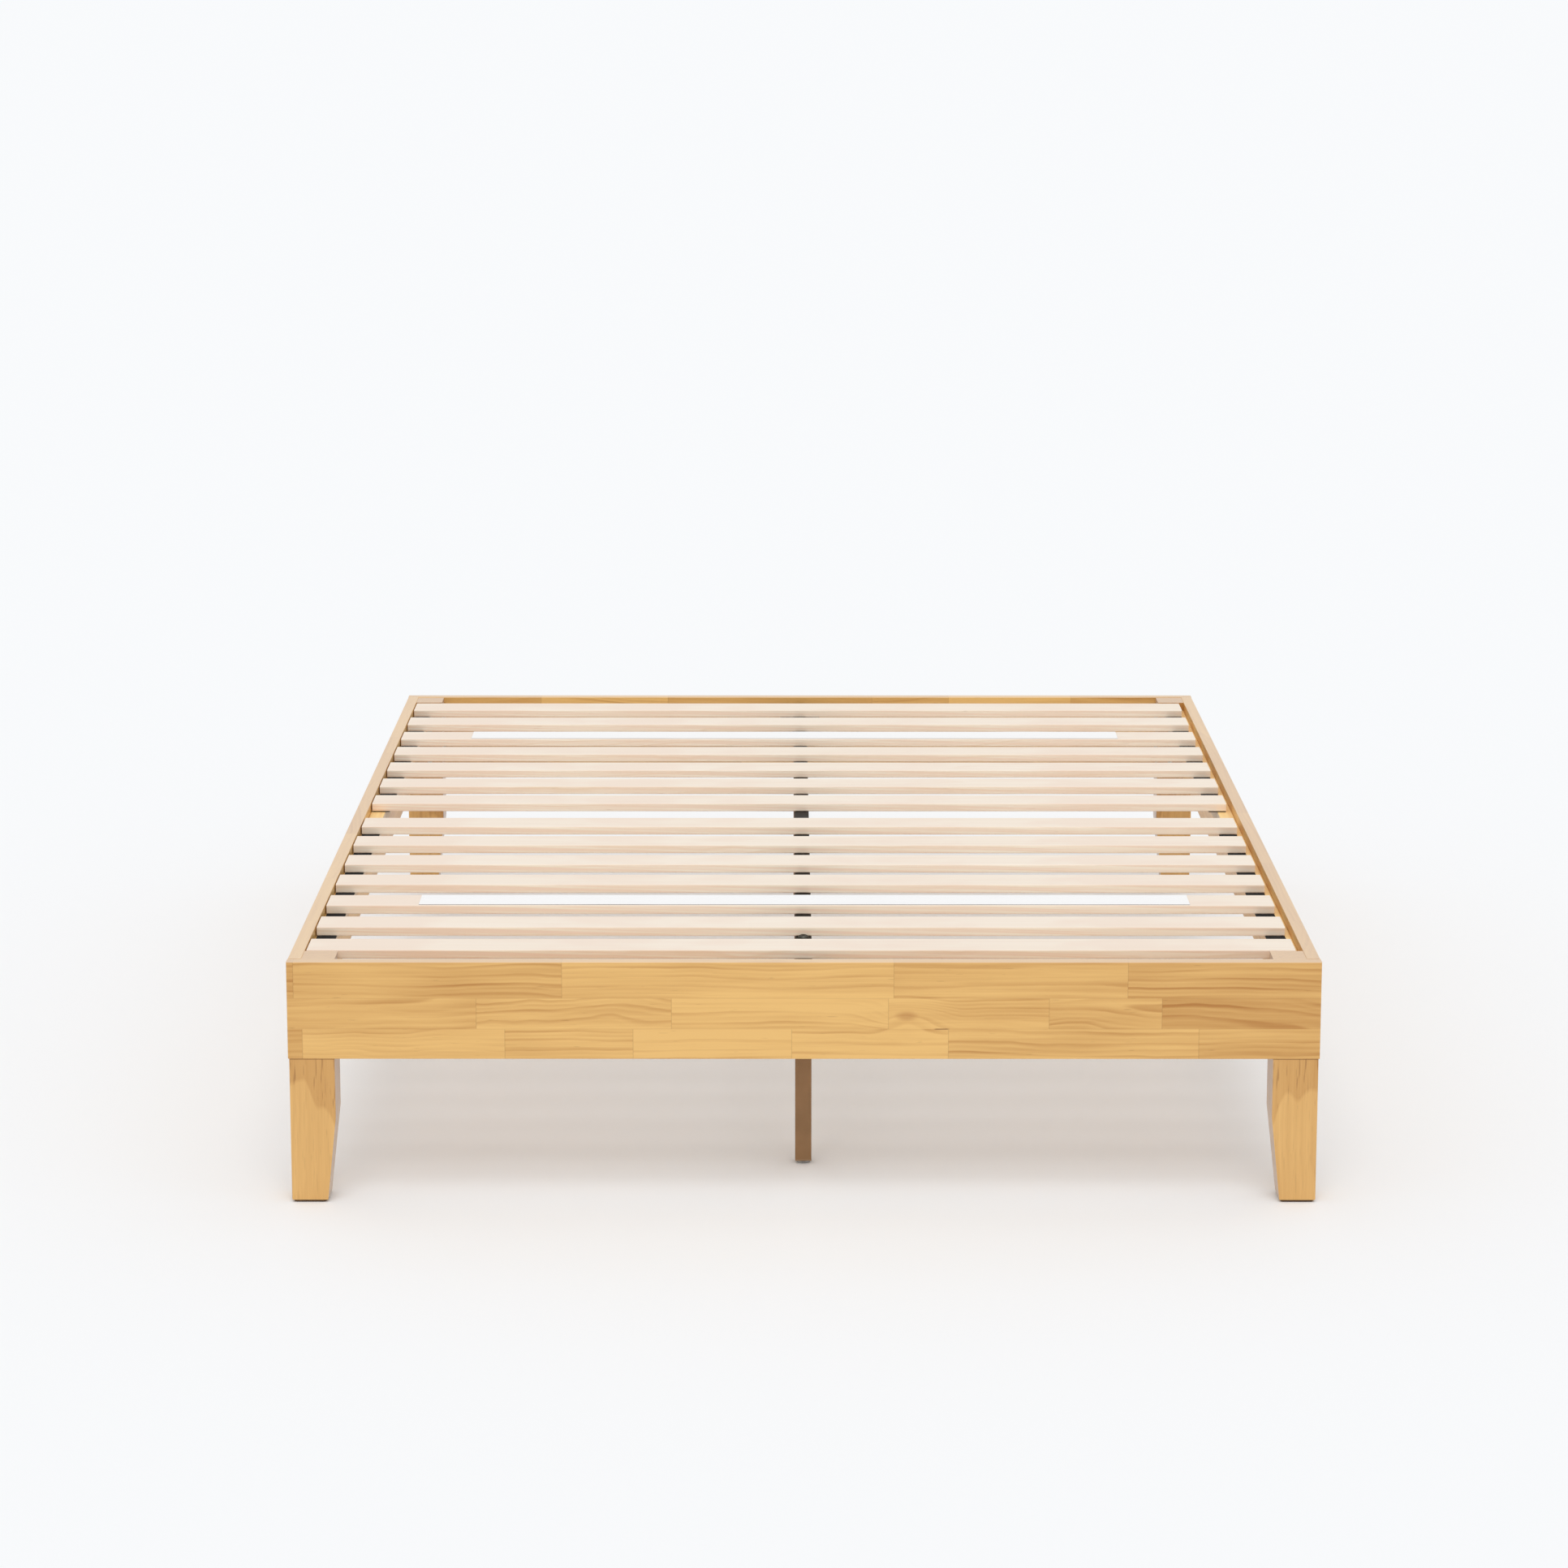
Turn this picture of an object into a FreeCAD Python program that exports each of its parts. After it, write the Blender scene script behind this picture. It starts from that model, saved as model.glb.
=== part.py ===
import FreeCAD, Part
import os
import re
import Sketcher
from FreeCAD import Placement, Rotation, Vector

# Slatted platform bed frame in pine, with a steel centre beam. Millimetres.
# X runs across the bed, Y from the foot to the head, Z up. The origin is on the floor, under the
# middle of the frame. Pieces named foot_ are at -Y, head_ at +Y, left_ at -X and right_ at +X.

DIMENSIONS = (
    ("bed_width", 1530, "outside, over the side rails"),
    ("bed_length", 2020, "outside, over the foot and head rails"),
    ("bed_height", 370, "floor to the top of the rails"),
    ("rail_height", 148, "height of the rail boards"),
    ("board_thick", 20, "thickness of the rail boards"),
    ("board_ease", 1.5, "rounding of the boards' long edges"),
    ("leg_side", 68, "side of the square corner leg"),
    ("leg_inset", 1.5, "leg's outer faces behind the rails' outer faces"),
    ("leg_ease", 2, "rounding of the leg's upright edges"),
    ("post_drop", 1, "top of the leg below the top of the rails"),
    ("toe_side", 54, "side of the leg at its foot"),
    ("taper_rise", 131, "height of the leg's tapered part"),
    ("felt_side", 49, "side of the felt pad"),
    ("felt_thick", 4, "thickness of the felt pad"),
    ("felt_corner", 3, "corner radius of the felt pad"),
    ("bolt_hole", 7, "bore through the post for a corner bolt"),
    ("bolt_shank", 6, "diameter of a corner bolt"),
    ("bolt_length", 60, "corner bolt under its head"),
    ("bolt_head", 11, "diameter of a corner bolt's head"),
    ("bolt_head_rise", 3.3, "height of a corner bolt's head"),
    ("bolt_socket", 4, "hexagon socket across flats"),
    ("bolt_socket_deep", 2, "depth of the hexagon socket"),
    ("washer_across", 14, "outside diameter of a washer"),
    ("washer_thick", 1.2, "thickness of a washer"),
    ("nut_across", 10, "outside diameter of a threaded insert in a rail"),
    ("nut_length", 13, "length of a threaded insert in a rail"),
    ("nut_bore", 6.1, "bore of a threaded insert in a rail"),
    ("end_bolt_low", 35, "lower bolt into an end rail, above the rail's lower edge"),
    ("end_bolt_high", 95, "upper bolt into an end rail"),
    ("side_bolt_low", 55, "lower bolt into a side rail"),
    ("side_bolt_high", 115, "upper bolt into a side rail"),
    ("dowel_across", 8, "diameter of a dowel"),
    ("dowel_in_end", 9, "length of a dowel in the end rail"),
    ("dowel_in_side", 28, "length of a dowel in the side rail"),
    ("dowel_low", 20, "lower dowel above the rail's lower edge"),
    ("dowel_high", 85, "upper dowel above the rail's lower edge"),
    ("fit_gap", 0.05, "clearance round a shank, pin or plug in its hole"),
    ("ledger_side", 25, "width and height of a ledger"),
    ("ledger_gap", 1, "gap between a ledger's end and the corner leg"),
    ("ledger_pitch", 250, "spacing of the ledger screws"),
    ("ledger_screw_drop", 11, "screw's centre line below the top of the ledger"),
    ("screw_shank", 4.5, "diameter of a ledger screw"),
    ("screw_head", 9, "diameter of a ledger screw's countersunk head"),
    ("screw_length", 40, "length of a ledger screw"),
    ("slat_length", 1478, "length of a slat"),
    ("slat_width", 67.5, "width of a slat"),
    ("slat_thick", 14, "thickness of a slat"),
    ("slat_ease", 2, "rounding of a slat's long edges"),
    ("slat_pitch", 135.5, "spacing of the slats in a pack"),
    ("slat_margin", 75, "outside of an end rail to the edge of its nearest slat"),
    ("slat_left_gap", 2, "gap between the slats and the left side rail"),
    ("slat_drop", 1, "top of the slats below the top of the rails"),
    ("strap_width", 30, "width of the webbing"),
    ("strap_thick", 1.2, "thickness of the webbing"),
    ("staple_crown", 12, "width of a staple over its legs"),
    ("staple_wire", 0.8, "thickness of a staple's wire"),
    ("staple_leg", 8, "length of a staple's legs in the slat"),
    ("staple_spread", 30, "spacing of the two staples along the webbing"),
    ("tape_length", 1203, "length of the grip tape and its liner"),
    ("tape_width", 60, "width of the grip tape and its liner"),
    ("tape_thick", 0.7, "thickness of the grip tape"),
    ("liner_thick", 0.3, "thickness of the liner on the grip tape"),
    ("beam_width", 25, "width of the centre beam"),
    ("beam_height", 50, "height of the centre beam"),
    ("tube_wall", 1.5, "wall of the beam and of the centre legs"),
    ("tube_round", 2, "outer corner radius of the beam and of the centre legs"),
    ("beam_end_gap", 1, "gap between the beam's end and its bracket's plate"),
    ("plate_width", 76, "width of a beam bracket's back plate"),
    ("plate_height", 52, "height of a beam bracket's back plate"),
    ("plate_thick", 2.5, "thickness of a beam bracket's steel"),
    ("cradle_length", 42, "length of a beam bracket's cradle"),
    ("cradle_height", 38, "height of a beam bracket's cheeks"),
    ("cradle_gap", 0.3, "gap between the beam and each cheek"),
    ("plate_screw_across", 60, "spacing of the bracket's screws, across"),
    ("plate_screw_up", 32, "spacing of the bracket's screws, upwards"),
    ("plate_screw_shank", 4, "diameter of a bracket screw"),
    ("plate_screw_head", 8, "diameter of a bracket screw's head"),
    ("plate_screw_rise", 2.6, "height of a bracket screw's head"),
    ("plate_screw_length", 15, "bracket screw under its head"),
    ("centre_leg_side", 25, "side of a centre leg's square tube"),
    ("centre_leg_setback", 201, "outer face of an end rail to the outer centre leg's axis"),
    ("middle_leg_shift", 28, "middle centre leg's axis, from the middle of the beam towards the foot"),
    ("plug_length", 22, "length of the inserts in a centre leg's ends"),
    ("plug_flange", 2, "thickness of the lower insert's flange"),
    ("leg_bolt_shank", 8, "diameter of a centre leg's bolt"),
    ("leg_bolt_length", 68, "centre leg's bolt under its head"),
    ("leg_bolt_head", 16.5, "diameter of a centre leg's bolt head"),
    ("leg_bolt_rise", 4.4, "height of a centre leg's bolt head"),
    ("leg_bolt_dome", 3.6, "rounding of a centre leg's bolt head"),
    ("leg_bolt_socket", 5, "hexagon socket across flats"),
    ("disc_across", 21, "diameter of a levelling foot's disc"),
    ("disc_thick", 4, "thickness of a levelling foot's disc"),
    ("disc_ease", 1, "rounding of a levelling foot's disc"),
    ("disc_gap", 1, "gap between the disc and the centre leg"),
    ("stud_length", 34, "length of a levelling foot's stud above its disc"),
)
SLATS_IN_PACK = 7
LEDGER_SCREWS = 8
SIDES = ((-1, "left"), (1, "right"))
ENDS = ((-1, "foot"), (1, "head"))

doc = FreeCAD.newDocument("bed_frame")
sheet = doc.addObject("Spreadsheet::Sheet", "Sheet")
for row, (alias, value, meaning) in enumerate(DIMENSIONS, start=1):
    sheet.set(f"A{row}", meaning)
    sheet.set(f"B{row}", str(value))
    sheet.setAlias(f"B{row}", alias)
doc.recompute()

ALIASES = re.compile(r"\b(" + "|".join(alias for alias, _, _ in DIMENSIONS) + r")\b")
# Heights and places that several pieces share, as expressions of the sheet's words.
RAIL_BOTTOM = "(bed_height - rail_height)"
SLAT_BOTTOM = "(bed_height - slat_drop - slat_thick)"
LEDGER_TOP = f"({SLAT_BOTTOM} - strap_thick)"
LEG_REACH = "(leg_inset + leg_side)"
POST_MIDDLE = f"((board_thick + {LEG_REACH}) / 2)"
BEAM_BOTTOM = f"({SLAT_BOTTOM} - beam_height)"
TUBE_BOTTOM = "(disc_thick + disc_gap + plug_flange)"
INNER_WIDTH = "(bed_width / 2 - board_thick)"
INNER_LENGTH = "(bed_length / 2 - board_thick)"
SLAT_MIDDLE = "((slat_length - bed_width) / 2 + board_thick + slat_left_gap)"

pieces = []


def in_sheet(words):
    """Write the sheet's name in front of each of its aliases."""
    return ALIASES.sub(r"Sheet.\1", words)


def size(words):
    """The present value of an expression of the sheet's words."""
    return float(sheet.evalExpression(words))


def bind(thing, prop, words):
    """Tie a property to an expression of the sheet's words."""
    thing.setExpression(prop, in_sheet(words))


def set_place(thing, x, y, z, turn=0):
    """Turn a piece about Z and tie its place to the sheet."""
    thing.Placement = Placement(Vector(), Rotation(Vector(0, 0, 1), turn))
    for axis, words in zip("xyz", (x, y, z)):
        bind(thing, f"Placement.Base.{axis}", words)


def new_body(label, x="0", y="0", z="0", turn=0, exported=True):
    """An empty body at its place in the bed."""
    body = doc.addObject("PartDesign::Body", label)
    body.Label = label
    set_place(body, x, y, z, turn)
    if exported:
        pieces.append(body)
    return body


def new_sketch(body, plane, offset="0"):
    """A sketch on one of the body's own origin planes, moved along its normal by offset."""
    sketch = body.newObject("Sketcher::SketchObject", f"{body.Name}_sketch")
    origin_plane = next(f for f in body.Origin.OriginFeatures if f.Role == plane)
    sketch.AttachmentSupport = [(origin_plane, "")]
    sketch.MapMode = "FlatFace"
    bind(sketch, "AttachmentOffset.Base.z", offset)
    return sketch


def pin_point(sketch, geometry, point, across, up):
    """Dimension a point of the sketch from the sketch's origin."""
    for kind, words in (("DistanceX", across), ("DistanceY", up)):
        rule = Sketcher.Constraint(kind, -1, 1, geometry, point, size(words))
        bind(sketch, f"Constraints[{sketch.addConstraint(rule)}]", words)


def add_outline(sketch, corners):
    """A closed outline through corners, each a pair of expressions from the sketch's origin."""
    points = [Vector(size(across), size(up), 0) for across, up in corners]
    sides = [Part.LineSegment(*ends) for ends in zip(points, points[1:] + points[:1])]
    first, *others = sketch.addGeometry(sides, False)
    lines = [first, *others]
    for line, following in zip(lines, others + [first]):
        sketch.addConstraint(Sketcher.Constraint("Coincident", line, 2, following, 1))
    for line, (across, up) in zip(lines, corners):
        pin_point(sketch, line, 1, across, up)


def add_rectangle(sketch, left, right, low, high):
    add_outline(sketch, ((left, low), (right, low), (right, high), (left, high)))


def add_circle(sketch, across, up, diameter):
    centre = Vector(size(across), size(up), 0)
    circle = sketch.addGeometry(Part.Circle(centre, Vector(0, 0, 1), size(diameter) / 2), False)
    pin_point(sketch, circle, 3, across, up)
    rule = Sketcher.Constraint("Diameter", circle, size(diameter))
    bind(sketch, f"Constraints[{sketch.addConstraint(rule)}]", diameter)


def pad(body, sketch, length, symmetric=False, reverse=False):
    feature = body.newObject("PartDesign::Pad", f"{body.Name}_pad")
    feature.Profile = sketch
    feature.SideType = "Symmetric" if symmetric else "One side"
    feature.Reversed = reverse
    bind(feature, "Length", length)
    doc.recompute()
    return feature


def pocket(body, sketch, depth=None, reverse=False):
    """Cut to a depth against the sketch's normal (along it if reversed), or right through."""
    before = body.Shape.Volume
    feature = body.newObject("PartDesign::Pocket", f"{body.Name}_pocket")
    feature.Profile = sketch
    feature.Reversed = reverse
    if depth is None:
        feature.Type = "ThroughAll"
        feature.SideType = "Symmetric"
    else:
        bind(feature, "Length", depth)
    doc.recompute()
    if body.Shape.Volume >= before - 1e-6:
        raise RuntimeError(f"{feature.Name} cuts nothing")
    return feature


def mirror(body, feature, plane):
    """Repeat a feature on the other side of one of the body's origin planes."""
    origin_plane = next(f for f in body.Origin.OriginFeatures if f.Role == plane)
    copy = body.newObject("PartDesign::Mirrored", f"{body.Name}_mirror")
    copy.Originals = [feature]
    copy.MirrorPlane = (origin_plane, [""])
    body.Tip = copy
    doc.recompute()


def dress(body, kind, base, prop, amount, chosen):
    """Fillet or chamfer the edges of the base feature that chosen(edge) accepts."""
    edges = [f"Edge{n}" for n, edge in enumerate(base.Shape.Edges, start=1) if chosen(edge)]
    feature = body.newObject(f"PartDesign::{kind}", f"{body.Name}_{kind.lower()}")
    feature.Base = (base, edges)
    bind(feature, prop, amount)
    doc.recompute()
    return feature


def runs_along(direction):
    """A test for straight edges parallel to a direction."""
    def test(edge):
        return len(edge.Vertexes) == 2 and edge.tangentAt(edge.FirstParameter).cross(direction).Length < 1e-6
    return test


def in_plane_x(place):
    """A test for round edges that lie in the plane X = place."""
    def test(edge):
        flat = edge.BoundBox.XLength < 1e-6 and abs(edge.BoundBox.XMin - place) < 1e-6
        return flat and isinstance(edge.Curve, Part.Circle)
    return test


ALONG_X = Vector(1, 0, 0)
ALONG_Y = Vector(0, 1, 0)
ALONG_Z = Vector(0, 0, 1)


def end_rail(label, y, turn):
    """Foot or head rail: a board across the bed, its inner face on the body's XZ plane."""
    body = new_body(label, "0", y, RAIL_BOTTOM, turn)
    section = new_sketch(body, "XZ_Plane")
    add_rectangle(section, "-bed_width / 2", "bed_width / 2", "0", "rail_height")
    board = pad(body, section, "board_thick")
    end_x = size("bed_width") / 2
    dress(body, "Fillet", board, "Radius", "board_ease", lambda edge: runs_along(ALONG_X)(edge) or (
        runs_along(ALONG_Z)(edge) and abs(abs(edge.BoundBox.XMin) - end_x) < 1e-6
        and edge.BoundBox.YMin < -1))
    inserts = new_sketch(body, "XZ_Plane")
    dowels = new_sketch(body, "XZ_Plane")
    for sign in ("", "-"):
        for up in ("end_bolt_low", "end_bolt_high"):
            add_circle(inserts, f"{sign}(bed_width / 2 - {POST_MIDDLE})", up, "nut_across")
        for up in ("dowel_low", "dowel_high"):
            add_circle(dowels, f"{sign}(bed_width / 2 - board_thick / 2)", up, "dowel_across")
    pocket(body, inserts, "nut_length", reverse=True)
    pocket(body, dowels, "dowel_in_end + 1", reverse=True)
    pilots = new_sketch(body, "XZ_Plane")
    for across, up in bracket_screw_points(RAIL_BOTTOM):
        add_circle(pilots, across, up, "plate_screw_shank")
    pocket(body, pilots, "plate_screw_length", reverse=True)


def bracket_screw_points(base):
    """The four screws of a beam bracket, as expressions above a base height."""
    middle = f"({SLAT_BOTTOM} - beam_height - plate_thick + plate_height / 2 - {base})"
    return [(f"{side}plate_screw_across / 2", f"{middle} {up} plate_screw_up / 2")
            for side in ("-", "") for up in ("-", "+")]


def ledger_screw_places():
    """Places of the ledger screws along the bed."""
    return [f"{n - (LEDGER_SCREWS - 1) / 2} * ledger_pitch" for n in range(LEDGER_SCREWS)]


def side_rail(label, x, turn):
    """Side rail: a board between the end rails, its inner face on the body's YZ plane."""
    body = new_body(label, x, "0", RAIL_BOTTOM, turn)
    section = new_sketch(body, "YZ_Plane")
    add_rectangle(section, f"-{INNER_LENGTH}", INNER_LENGTH, "0", "rail_height")
    board = pad(body, section, "board_thick", reverse=True)
    dress(body, "Fillet", board, "Radius", "board_ease", runs_along(ALONG_Y))
    inserts = new_sketch(body, "YZ_Plane")
    for sign in ("", "-"):
        for up in ("side_bolt_low", "side_bolt_high"):
            add_circle(inserts, f"{sign}(bed_length / 2 - {POST_MIDDLE})", up, "nut_across")
    pocket(body, inserts, "nut_length")
    pilots = new_sketch(body, "YZ_Plane")
    for along in ledger_screw_places():
        add_circle(pilots, along, f"{LEDGER_TOP} - ledger_screw_drop - {RAIL_BOTTOM}", "screw_shank")
    pocket(body, pilots, "screw_length - ledger_side")
    dowels = new_sketch(body, "XZ_Plane", f"-{INNER_LENGTH}")
    for up in ("dowel_low", "dowel_high"):
        add_circle(dowels, "-board_thick / 2", up, "dowel_across")
    mirror(body, pocket(body, dowels, "dowel_in_side + 1", reverse=True), "XZ_Plane")


def corner_leg(label, x, y, turn, bolts_along_x, bolts_along_y):
    """Corner leg, from the outer corner of the rails into +X and +Y of its own body.

    The upper part is sawn back on the two outer faces, so that the rails stand on the shoulders;
    the two inner faces are tapered towards the floor.
    """
    body = new_body(label, x, y, "felt_thick", turn)
    plan = new_sketch(body, "XY_Plane")
    add_rectangle(plan, "leg_inset", LEG_REACH, "leg_inset", LEG_REACH)
    blank = pad(body, plan, "bed_height - post_drop - felt_thick")
    dress(body, "Fillet", blank, "Radius", "leg_ease", runs_along(ALONG_Z))
    shoulder = f"{RAIL_BOTTOM} - felt_thick"
    for plane, heights in (("XZ_Plane", bolts_along_y), ("YZ_Plane", bolts_along_x)):
        saw_cuts = new_sketch(body, plane)
        add_rectangle(saw_cuts, "0", "board_thick", shoulder, "bed_height")
        add_outline(saw_cuts, (("leg_inset + toe_side", "0"), (LEG_REACH, "0"), (LEG_REACH, "taper_rise")))
        pocket(body, saw_cuts)
        bores = new_sketch(body, plane)
        for up in heights:
            add_circle(bores, POST_MIDDLE, f"{shoulder} + {up}", "bolt_hole")
        pocket(body, bores)


def felt_pad(label, x, y, turn):
    """Square felt pad stuck under a corner leg, in the middle of its foot."""
    body = new_body(label, x, y, "0", turn)
    plan = new_sketch(body, "XY_Plane")
    near = "leg_inset + (toe_side - felt_side) / 2"
    far = "leg_inset + (toe_side + felt_side) / 2"
    add_rectangle(plan, near, far, near, far)
    dress(body, "Fillet", pad(body, plan, "felt_thick"), "Radius", "felt_corner", runs_along(ALONG_Z))


def ledger(label, x, turn):
    """Strip that carries the slats' ends, its back on the body's YZ plane, screwed from inside."""
    body = new_body(label, x, "0", f"{LEDGER_TOP} - ledger_side", turn)
    half = f"(bed_length / 2 - {LEG_REACH} - ledger_gap)"
    section = new_sketch(body, "YZ_Plane")
    add_rectangle(section, f"-{half}", half, "0", "ledger_side")
    strip = pad(body, section, "ledger_side")
    dress(body, "Fillet", strip, "Radius", "board_ease", runs_along(ALONG_Y))
    holes = new_sketch(body, "YZ_Plane")
    for along in ledger_screw_places():
        add_circle(holes, along, "ledger_side - ledger_screw_drop", "screw_shank + 2 * fit_gap")
    drilled = pocket(body, holes)
    countersink = "(screw_head - screw_shank) / 2"
    dress(body, "Chamfer", drilled, "Size", countersink, in_plane_x(size("ledger_side")))


def slat(label, y):
    """Slat across the bed, on its own middle, with holes for the staples' legs below its ends."""
    body = new_body(label, SLAT_MIDDLE, y, SLAT_BOTTOM)
    section = new_sketch(body, "YZ_Plane")
    add_rectangle(section, "-slat_width / 2", "slat_width / 2", "0", "slat_thick")
    board = pad(body, section, "slat_length", symmetric=True)
    dress(body, "Fillet", board, "Radius", "slat_ease", runs_along(ALONG_X))
    holes = new_sketch(body, "XY_Plane")
    for end in ("-", ""):
        strap_line = f"{end}(slat_length - strap_width) / 2"
        for row in ("-", ""):
            across = f"{row}staple_spread / 2"
            for leg in ("-", "+"):
                middle = f"{strap_line} {leg} (staple_crown - staple_wire) / 2"
                add_rectangle(holes, f"{middle} - staple_wire / 2", f"{middle} + staple_wire / 2",
                              f"{across} - staple_wire / 2", f"{across} + staple_wire / 2")
    pocket(body, holes, "staple_leg", reverse=True)


def square_tube(body, width, depth, plane, length, symmetric):
    """Square or oblong steel tube with rounded outer corners, about the body's own axis."""
    section = new_sketch(body, plane)
    add_rectangle(section, f"-{width} / 2", f"{width} / 2", "0" if symmetric else f"-{depth} / 2",
                  depth if symmetric else f"{depth} / 2")
    bar = pad(body, section, length, symmetric=symmetric)
    axis = ALONG_Y if symmetric else ALONG_Z
    dress(body, "Fillet", bar, "Radius", "tube_round", runs_along(axis))
    hollow = new_sketch(body, plane)
    low = "tube_wall" if symmetric else f"tube_wall - {depth} / 2"
    high = f"{depth} - tube_wall" if symmetric else f"{depth} / 2 - tube_wall"
    add_rectangle(hollow, f"tube_wall - {width} / 2", f"{width} / 2 - tube_wall", low, high)
    pocket(body, hollow)


def turned(label, profile, exported=False):
    """A turned piece: half its outline, as (radius, height) expressions, spun about Z."""
    body = new_body(label, exported=exported)
    half = new_sketch(body, "XZ_Plane")
    add_outline(half, profile)
    feature = body.newObject("PartDesign::Revolution", f"{label}_spin")
    feature.Profile = half
    feature.ReferenceAxis = (half, ["V_Axis"])
    feature.Angle = 360
    doc.recompute()
    return body


def hex_socket(body, top, across_flats, depth):
    """Hexagon socket sunk into the top of a bolt's head."""
    plan = new_sketch(body, "XY_Plane", top)
    corner = f"{across_flats} / sqrt(3)"
    add_outline(plan, [(f"{corner} * cos({60 * n} deg)", f"{corner} * sin({60 * n} deg)") for n in range(6)])
    pocket(body, plan, depth)


def set_out(label, master, places):
    """One node that holds a copy of the master at each place, every copy a solid of its own."""
    copies = []
    for place in places:
        copy = master.Shape.copy()
        copy.Placement = place
        copies.append(copy)
    group = doc.addObject("Part::Feature", label)
    group.Label = label
    group.Shape = Part.makeCompound(copies)
    group.Placement = Placement()
    pieces.append(group)
    return group


def facing(direction, x, y, z):
    """Place of a fastener whose head looks in a direction."""
    return Placement(Vector(x, y, z), Rotation(ALONG_Z, direction))


def plain_box(label, length, width, height, x, y, z):
    """A plain flat piece, from its lowest corner."""
    box = doc.addObject("Part::Box", label)
    box.Label = label
    for prop, words in (("Length", length), ("Width", width), ("Height", height)):
        bind(box, prop, words)
    set_place(box, x, y, z)
    return box


# Rails, and the legs that stand in their corners.
for sign, end in ENDS:
    end_rail(f"{end}_rail", f"{sign} * {INNER_LENGTH}", 0 if sign < 0 else 180)
for sign, side in SIDES:
    side_rail(f"{side}_side_rail", f"{sign} * {INNER_WIDTH}", 0 if sign < 0 else 180)

END_BOLTS = ("end_bolt_low", "end_bolt_high")
SIDE_BOLTS = ("side_bolt_low", "side_bolt_high")
CORNER_TURNS = {(-1, -1): 0, (1, -1): 90, (1, 1): 180, (-1, 1): 270}
for end_sign, end in ENDS:
    for side_sign, side in SIDES:
        corner = (f"{side_sign} * bed_width / 2", f"{end_sign} * bed_length / 2")
        turn = CORNER_TURNS[side_sign, end_sign]
        # A leg turned by a quarter has its own X along the bed, so its bolts change places.
        along_x, along_y = (SIDE_BOLTS, END_BOLTS) if turn % 180 == 0 else (END_BOLTS, SIDE_BOLTS)
        corner_leg(f"{end}_{side}_leg", *corner, turn, along_x, along_y)
        felt_pad(f"{end}_{side}_felt_pad", *corner, turn)

# Corner fittings: threaded inserts in the rails, bolts through the posts from inside, dowels.
bolt = turned("corner_bolt_pattern", (
    ("0", "-bolt_length"), ("bolt_shank / 2", "-bolt_length"), ("bolt_shank / 2", "0"),
    ("bolt_head / 2", "0"), ("bolt_head / 2", "bolt_head_rise / 2"),
    ("bolt_head / 3", "bolt_head_rise"), ("0", "bolt_head_rise")))
hex_socket(bolt, "bolt_head_rise", "bolt_socket", "bolt_socket_deep")
washer = turned("washer_pattern", (
    ("bolt_shank / 2 + 2 * fit_gap", "0"), ("washer_across / 2", "0"),
    ("washer_across / 2", "washer_thick"), ("bolt_shank / 2 + 2 * fit_gap", "washer_thick")))
insert = turned("rail_insert_pattern", (
    ("nut_bore / 2", "-nut_length"), ("nut_across / 2 - fit_gap", "-nut_length"),
    ("nut_across / 2 - fit_gap", "0"), ("nut_bore / 2", "0")))
dowel = turned("dowel_pattern", (
    ("0", "-dowel_in_end"), ("dowel_across / 2 - fit_gap", "-dowel_in_end"),
    ("dowel_across / 2 - fit_gap", "dowel_in_side"), ("0", "dowel_in_side")))

bolt_places = []
washer_places = []
insert_places = []
dowel_places = []
for side_sign, _ in SIDES:
    for end_sign, _ in ENDS:
        edge_x = side_sign * size("bed_width / 2")
        edge_y = end_sign * size("bed_length / 2")
        inward_x = ALONG_X * -side_sign
        inward_y = ALONG_Y * -end_sign
        for heights, inward, other in ((END_BOLTS, inward_y, inward_x), (SIDE_BOLTS, inward_x, inward_y)):
            for words in heights:
                line = Vector(edge_x, edge_y, size(f"{RAIL_BOTTOM} + {words}")) + other * size(POST_MIDDLE)
                insert_places.append(facing(inward, *(line + inward * size("board_thick"))))
                washer_places.append(facing(inward, *(line + inward * size(LEG_REACH))))
                bolt_places.append(facing(inward, *(line + inward * size(f"{LEG_REACH} + washer_thick"))))
        for words in ("dowel_low", "dowel_high"):
            line = Vector(edge_x, edge_y, size(f"{RAIL_BOTTOM} + {words}")) + inward_x * size("board_thick / 2")
            dowel_places.append(facing(inward_y, *(line + inward_y * size("board_thick"))))
set_out("corner_bolts", bolt, bolt_places)
set_out("corner_washers", washer, washer_places)
set_out("rail_inserts", insert, insert_places)
set_out("rail_dowels", dowel, dowel_places)

# Ledgers and their countersunk screws.
for sign, side in SIDES:
    ledger(f"{side}_ledger", f"{sign} * {INNER_WIDTH}", 0 if sign < 0 else 180)
head_deep = "(screw_head - screw_shank) / 2"
ledger_screw = turned("ledger_screw_pattern", (
    ("0", "-screw_length"), ("screw_shank / 2 - fit_gap", "3 - screw_length"),
    ("screw_shank / 2 - fit_gap", f"-{head_deep}"), ("screw_head / 2 - fit_gap", "0"), ("0", "0")))
set_out("ledger_screws", ledger_screw, [
    facing(ALONG_X * -sign, sign * size(f"{INNER_WIDTH} - ledger_side"), size(along),
           size(f"{LEDGER_TOP} - ledger_screw_drop"))
    for sign, _ in SIDES for along in ledger_screw_places()])

# Slats, webbing and staples: two packs of seven.
SLAT_PLACES = {}
for end_sign, end in ENDS:
    for n in range(SLATS_IN_PACK):
        from_end = f"bed_length / 2 - slat_margin - slat_width / 2 - {n} * slat_pitch"
        number = n + 1 if end_sign < 0 else 2 * SLATS_IN_PACK - n
        SLAT_PLACES[number] = f"{end_sign} * ({from_end})"
        slat(f"slat_{number:02d}", SLAT_PLACES[number])

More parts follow.
